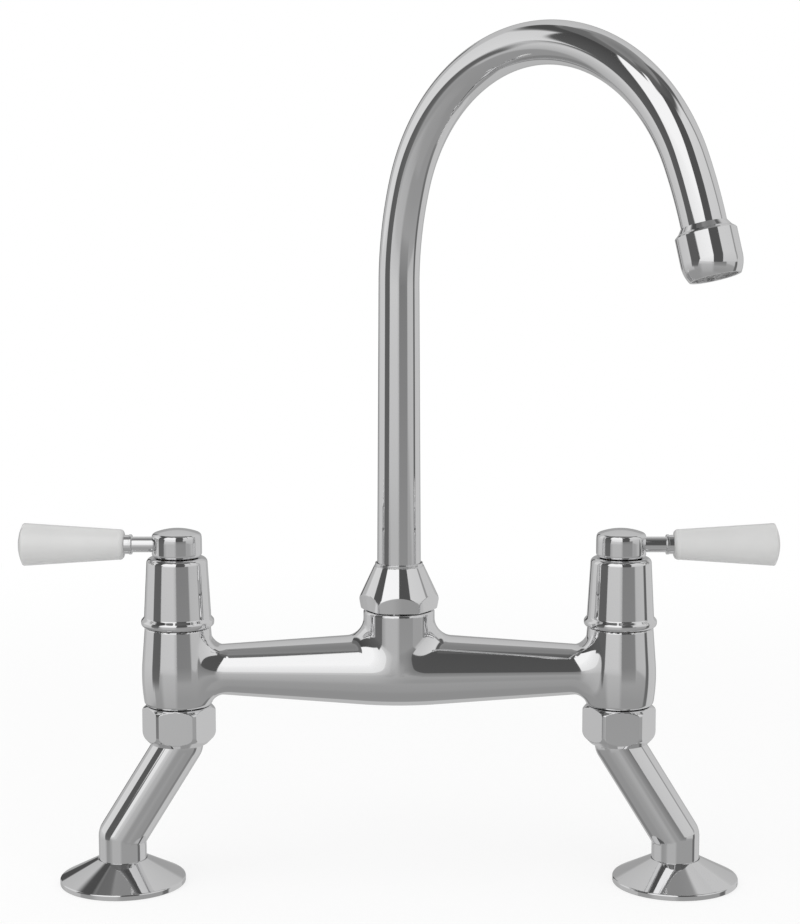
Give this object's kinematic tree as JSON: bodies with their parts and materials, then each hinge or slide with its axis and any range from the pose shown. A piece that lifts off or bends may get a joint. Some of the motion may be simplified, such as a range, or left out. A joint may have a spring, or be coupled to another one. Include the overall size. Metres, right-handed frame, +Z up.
{
  "type": "bridge kitchen faucet",
  "caption": "Deck-mounted bridge mixer with a swivelling gooseneck spout, lever handles with ceramic grips, slanted legs and conical deck flanges.",
  "frame": {"origin": "on the deck plane, midway between the axes of the two feet", "axes": "+Z up, +X to the right of the user, -Y towards the user"},
  "size_m": [0.3474, 0.1642, 0.3897],
  "materials": {
    "chrome_plate": "polished chrome plate on brass",
    "brass": "machined brass",
    "white_ceramic": "glazed white",
    "disc_ceramic": "lapped",
    "rubber": "moulded rubber",
    "fibre": "pressed fibre",
    "plastic": "moulded",
    "spring_steel": "bright steel"
  },
  "bodies": {
    "faucet_body": {"bridge_body": "chrome_plate", "spout_nut": "chrome_plate", "spout_slide_ring": "plastic", "left_union_nut": "chrome_plate", "left_union_washer": "fibre", "left_cartridge_body": "brass", "left_seat_seal": "rubber", "left_fixed_disc": "disc_ceramic", "left_shroud": "chrome_plate", "right_union_nut": "chrome_plate", "right_union_washer": "fibre", "right_cartridge_body": "brass", "right_seat_seal": "rubber", "right_fixed_disc": "disc_ceramic", "right_shroud": "chrome_plate"},
    "spout": {"spout_tube": "chrome_plate", "spout_spigot": "brass", "spout_o_rings": "rubber", "spout_end_collar": "chrome_plate", "aerator_housing": "chrome_plate", "aerator_insert": "plastic", "aerator_screen": "spring_steel", "aerator_seal": "rubber"},
    "left_handle": {"left_moving_disc": "disc_ceramic", "left_spindle": "brass", "left_spindle_o_rings": "rubber", "left_snap_ring": "spring_steel", "left_handle_hub": "chrome_plate", "left_hub_screw": "spring_steel", "left_handle_rod": "chrome_plate", "left_ferrule": "chrome_plate", "left_grip": "white_ceramic"},
    "right_handle": {"right_moving_disc": "disc_ceramic", "right_spindle": "brass", "right_spindle_o_rings": "rubber", "right_snap_ring": "spring_steel", "right_handle_hub": "chrome_plate", "right_hub_screw": "spring_steel", "right_handle_rod": "chrome_plate", "right_ferrule": "chrome_plate", "right_grip": "white_ceramic"},
    "left_leg_body": {"left_leg": "chrome_plate", "left_flange": "chrome_plate", "left_flange_seal": "rubber"},
    "right_leg_body": {"right_leg": "chrome_plate", "right_flange": "chrome_plate", "right_flange_seal": "rubber"}
  },
  "joints": [
    {"name": "spout_swivel", "type": "hinge", "parent": "faucet_body", "child": "spout", "pos_m": [0, 0, 0.128], "axis": [0, 0, 1], "continuous": true},
    {"name": "left_lever", "type": "hinge", "parent": "faucet_body", "child": "left_handle", "pos_m": [-0.1015, 0, 0.15875], "axis": [0, 0, 1], "range_deg": [0, 90]},
    {"name": "right_lever", "type": "hinge", "parent": "faucet_body", "child": "right_handle", "pos_m": [0.1015, 0, 0.15875], "axis": [0, 0, 1], "range_deg": [-90, 0]},
    {"name": "left_leg_swivel", "type": "hinge", "parent": "faucet_body", "child": "left_leg_body", "pos_m": [-0.1015, 0, 0.0727], "axis": [0, 0, 1], "continuous": true},
    {"name": "right_leg_swivel", "type": "hinge", "parent": "faucet_body", "child": "right_leg_body", "pos_m": [0.1015, 0, 0.0727], "axis": [0, 0, 1], "continuous": true}
  ]
}
